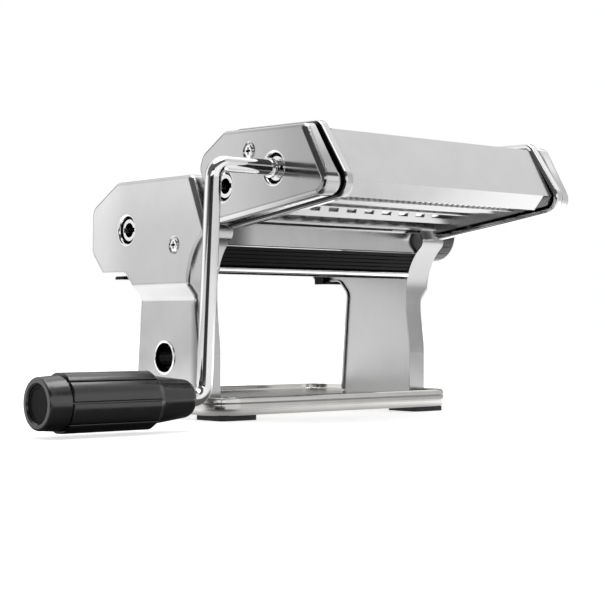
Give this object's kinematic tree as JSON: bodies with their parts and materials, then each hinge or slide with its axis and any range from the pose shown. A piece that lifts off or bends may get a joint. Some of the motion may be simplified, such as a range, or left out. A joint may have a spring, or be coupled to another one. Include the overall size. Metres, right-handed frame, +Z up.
{
  "type": "hand-cranked pasta machine",
  "caption": "Hand-cranked dough sheet roller on a pressed base, with a lift-off cutter head for narrow and wide strands and a pull-out crank with a black grip.",
  "frame": {"origin": "centre of the bottom of the bounding box, on the table under the feet", "axes": "+X along the rollers from the crank side to the knob side, -Y to the front where the cut strands leave, +Z up"},
  "size_m": [0.3242, 0.2132, 0.1509],
  "materials": {
    "polished_steel": "polished",
    "screw_steel": "polished",
    "plated_steel": "satin",
    "roller_metal": "satin",
    "gear_steel": "satin",
    "bush_bronze": "satin",
    "black_guard": "gloss",
    "black_grip": "satin",
    "knob_plastic": "satin",
    "foot_rubber": "matte"
  },
  "bodies": {
    "frame": {"base_tray": "polished_steel", "rubber_feet": "foot_rubber", "crank_side_cover": "polished_steel", "knob_side_cover": "polished_steel", "drive_socket_ring": "polished_steel", "clamp_hole_eyelet": "polished_steel", "crank_side_frame_plate": "plated_steel", "knob_side_frame_plate": "plated_steel", "frame_tie_rods": "plated_steel", "cover_standoffs": "plated_steel", "cover_screws": "screw_steel", "frame_screws": "screw_steel", "base_screws": "screw_steel", "front_cover_sheet": "polished_steel", "rear_cover_sheet": "polished_steel", "front_guard": "black_guard", "front_lower_bar": "polished_steel", "rear_guard": "black_guard", "drive_roller_scraper": "plated_steel", "drive_roller_bushes": "bush_bronze", "roller_return_springs": "plated_steel", "cutter_rails": "plated_steel"},
    "drive_roller": {"drive_roller": "roller_metal", "drive_roller_gear": "gear_steel"},
    "bearing_slide": {"roller_bearing_blocks": "plated_steel", "adjustable_roller_scraper": "plated_steel"},
    "adjustable_roller": {"adjustable_roller": "roller_metal", "adjustable_roller_gear": "gear_steel"},
    "setting_shaft": {"setting_shaft": "plated_steel", "setting_cams": "plated_steel", "knob_retaining_screw": "screw_steel", "knob_spring": "plated_steel"},
    "knob": {"thickness_knob": "knob_plastic"},
    "cutter_head": {"cutter_cap_crank_side": "polished_steel", "cutter_cap_knob_side": "polished_steel", "cutter_socket_rings": "polished_steel", "cutter_cap_screws": "screw_steel", "cutter_end_plate_crank_side": "plated_steel", "cutter_end_plate_knob_side": "plated_steel", "cutter_roller_bushes": "bush_bronze", "cutter_tie_rods": "plated_steel", "cutter_frame_screws": "screw_steel", "cutter_front_panel": "polished_steel", "cutter_back_panel": "polished_steel", "cutter_feed_divider": "polished_steel", "narrow_cutter_combs": "plated_steel", "wide_cutter_combs": "plated_steel"},
    "narrow_cutter_drive": {"narrow_cutter_drive_roller": "roller_metal", "narrow_cutter_drive_gear": "gear_steel"},
    "narrow_cutter_follower": {"narrow_cutter_follower_roller": "roller_metal", "narrow_cutter_follower_gear": "gear_steel"},
    "wide_cutter_drive": {"wide_cutter_drive_roller": "roller_metal", "wide_cutter_drive_gear": "gear_steel"},
    "wide_cutter_follower": {"wide_cutter_follower_roller": "roller_metal", "wide_cutter_follower_gear": "gear_steel"},
    "crank": {"crank_rod": "polished_steel", "crank_key_pin": "screw_steel"},
    "grip": {"crank_grip": "black_grip", "grip_end_plug": "black_grip"}
  },
  "joints": [
    {"name": "drive_roller_spin", "type": "hinge", "parent": "frame", "child": "drive_roller", "pos_m": [0.0549, 0.0633, 0.1024], "axis": [1, 0, 0], "continuous": true},
    {"name": "roller_gap_slide", "type": "slide", "parent": "frame", "child": "bearing_slide", "axis": [0, 1, 0], "range_m": [0, 0.0025]},
    {"name": "adjustable_roller_spin", "type": "hinge", "parent": "bearing_slide", "child": "adjustable_roller", "pos_m": [0.0549, 0.0333, 0.104], "axis": [1, 0, 0], "continuous": true},
    {"name": "thickness_setting", "type": "hinge", "parent": "frame", "child": "setting_shaft", "pos_m": [0.0549, 0.0155, 0.104], "axis": [1, 0, 0], "range_deg": [0, 180]},
    {"name": "knob_pull", "type": "slide", "parent": "setting_shaft", "child": "knob", "axis": [1, 0, 0], "range_m": [0, 0.004], "stiffness_N_per_m": 400, "springref_m": -0.001},
    {"name": "cutter_head_lift", "type": "slide", "parent": "frame", "child": "cutter_head", "axis": [0, 0, 1], "range_m": [0, 0.03]},
    {"name": "narrow_cutter_spin", "type": "hinge", "parent": "cutter_head", "child": "narrow_cutter_drive", "pos_m": [0.0549, -0.0649, 0.1267], "axis": [1, 0, 0], "continuous": true},
    {"name": "narrow_cutter_follower_spin", "type": "hinge", "parent": "cutter_head", "child": "narrow_cutter_follower", "pos_m": [0.0549, -0.0837, 0.1229], "axis": [1, 0, 0], "continuous": true},
    {"name": "wide_cutter_spin", "type": "hinge", "parent": "cutter_head", "child": "wide_cutter_drive", "pos_m": [0.0549, -0.0239, 0.1208], "axis": [1, 0, 0], "continuous": true},
    {"name": "wide_cutter_follower_spin", "type": "hinge", "parent": "cutter_head", "child": "wide_cutter_follower", "pos_m": [0.0549, -0.0426, 0.1252], "axis": [1, 0, 0], "continuous": true},
    {"name": "crank_pull", "type": "slide", "parent": "narrow_cutter_drive", "child": "crank", "axis": [-1, 0, 0], "range_m": [0, 0.025]},
    {"name": "grip_spin", "type": "hinge", "parent": "crank", "child": "grip", "pos_m": [-0.1141, -0.0575, 0.0153], "axis": [1, 0, 0], "continuous": true}
  ],
  "couplings": [
    {"joint": "adjustable_roller_spin", "follows": "drive_roller_spin", "ratio": -1},
    {"joint": "thickness_setting", "follows": "roller_gap_slide", "rad_per_m": 1256.6},
    {"joint": "narrow_cutter_follower_spin", "follows": "narrow_cutter_spin", "ratio": -1},
    {"joint": "wide_cutter_follower_spin", "follows": "wide_cutter_spin", "ratio": -1}
  ]
}
